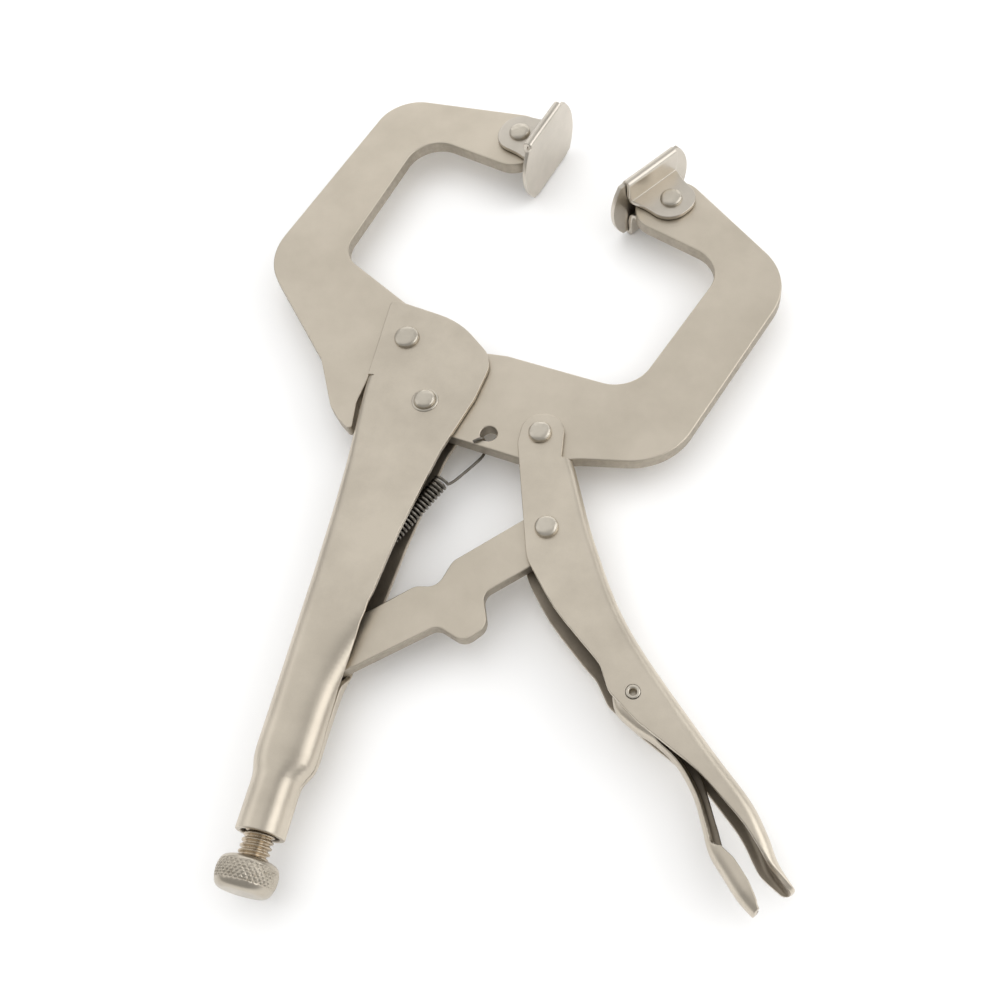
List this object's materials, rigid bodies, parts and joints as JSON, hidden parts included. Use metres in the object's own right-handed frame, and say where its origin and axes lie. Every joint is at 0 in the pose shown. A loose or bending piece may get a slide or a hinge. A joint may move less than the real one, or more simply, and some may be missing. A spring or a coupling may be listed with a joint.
{
  "type": "locking C-clamp pliers",
  "caption": "Locking C-clamp pliers with swivel pads, toggle link, release lever and knurled adjusting screw, shown wide open.",
  "frame": {"origin": "middle of the bounding box, on the surface that the tool lies on", "axes": "+Y along the fixed handle and adjusting screw towards the jaws, +X towards the lever, +Z square to the jaw plates, upwards"},
  "size_m": [0.1939, 0.2766, 0.0248],
  "materials": {
    "satin_plate": "satin nickel plate, warm grey",
    "rolled_sheet": "nickel-plated pressed sheet, a little brighter than the plates",
    "pad_sheet": "nickel-plated folded sheet",
    "rivet_steel": "bright domed rivet heads",
    "screw_steel": "plated thread and diamond knurl",
    "spring_wire": "dark drawn wire"
  },
  "bodies": {
    "fixed_frame": {"fixed_handle": "rolled_sheet", "fixed_jaw": "satin_plate", "fixed_jaw_rivet": "rivet_steel", "jaw_pivot_rivet": "rivet_steel", "fixed_pad_rivet": "rivet_steel", "return_spring": "spring_wire"},
    "fixed_pad_body": {"fixed_pad": "pad_sheet"},
    "moving_jaw_body": {"movable_jaw": "satin_plate", "moving_pad_rivet": "rivet_steel"},
    "moving_pad_body": {"moving_pad": "pad_sheet"},
    "lever_body": {"lever_handle": "rolled_sheet", "lever_rivet": "rivet_steel", "link_rivet": "rivet_steel"},
    "link_body": {"toggle_link": "satin_plate"},
    "release_body": {"release_lever": "rolled_sheet"},
    "screw_body": {"adjusting_screw": "screw_steel"},
    "knob_body": {"knurled_knob": "screw_steel"}
  },
  "joints": [
    {"name": "jaw_pivot", "type": "hinge", "parent": "fixed_frame", "child": "moving_jaw_body", "pos_m": [-0.02959, 0.0127, 0.0124], "axis": [0, 0, 1], "range_deg": [0, 19.5], "deforming": ["return_spring"]},
    {"name": "lever_pivot", "type": "hinge", "parent": "moving_jaw_body", "child": "lever_body", "pos_m": [0.00781, 0.0069, 0.0124], "axis": [0, 0, 1], "range_deg": [-46, 0.5]},
    {"name": "link_pivot", "type": "hinge", "parent": "lever_body", "child": "link_body", "pos_m": [0.01661, -0.0238, 0.0124], "axis": [0, 0, 1], "range_deg": [-0.5, 40]},
    {"name": "release_pivot", "type": "hinge", "parent": "lever_body", "child": "release_body", "pos_m": [0.04981, -0.0683, 0.0124], "axis": [0, 0, 1], "range_deg": [-2, 4.5]},
    {"name": "fixed_pad_swivel", "type": "hinge", "parent": "fixed_frame", "child": "fixed_pad_body", "pos_m": [-0.02609, 0.1253, 0.0124], "axis": [0, 0, 1], "range_deg": [-10, 10]},
    {"name": "moving_pad_swivel", "type": "hinge", "parent": "moving_jaw_body", "child": "moving_pad_body", "pos_m": [0.03041, 0.102, 0.0124], "axis": [0, 0, 1], "range_deg": [-10, 10]},
    {"name": "screw_travel", "type": "slide", "parent": "fixed_frame", "child": "screw_body", "axis": [0, -1, 0], "range_m": [0, 0.024]},
    {"name": "knob_turn", "type": "hinge", "parent": "screw_body", "child": "knob_body", "pos_m": [-0.03839, -0.1295, 0.0124], "axis": [0, -1, 0], "range_deg": [0, 5765]}
  ],
  "couplings": [
    {"joint": "lever_pivot", "follows": "jaw_pivot", "ratio": -2.286},
    {"joint": "link_pivot", "follows": "jaw_pivot", "ratio": 1.972},
    {"joint": "knob_turn", "follows": "screw_travel", "rad_per_m": 4188.8}
  ]
}
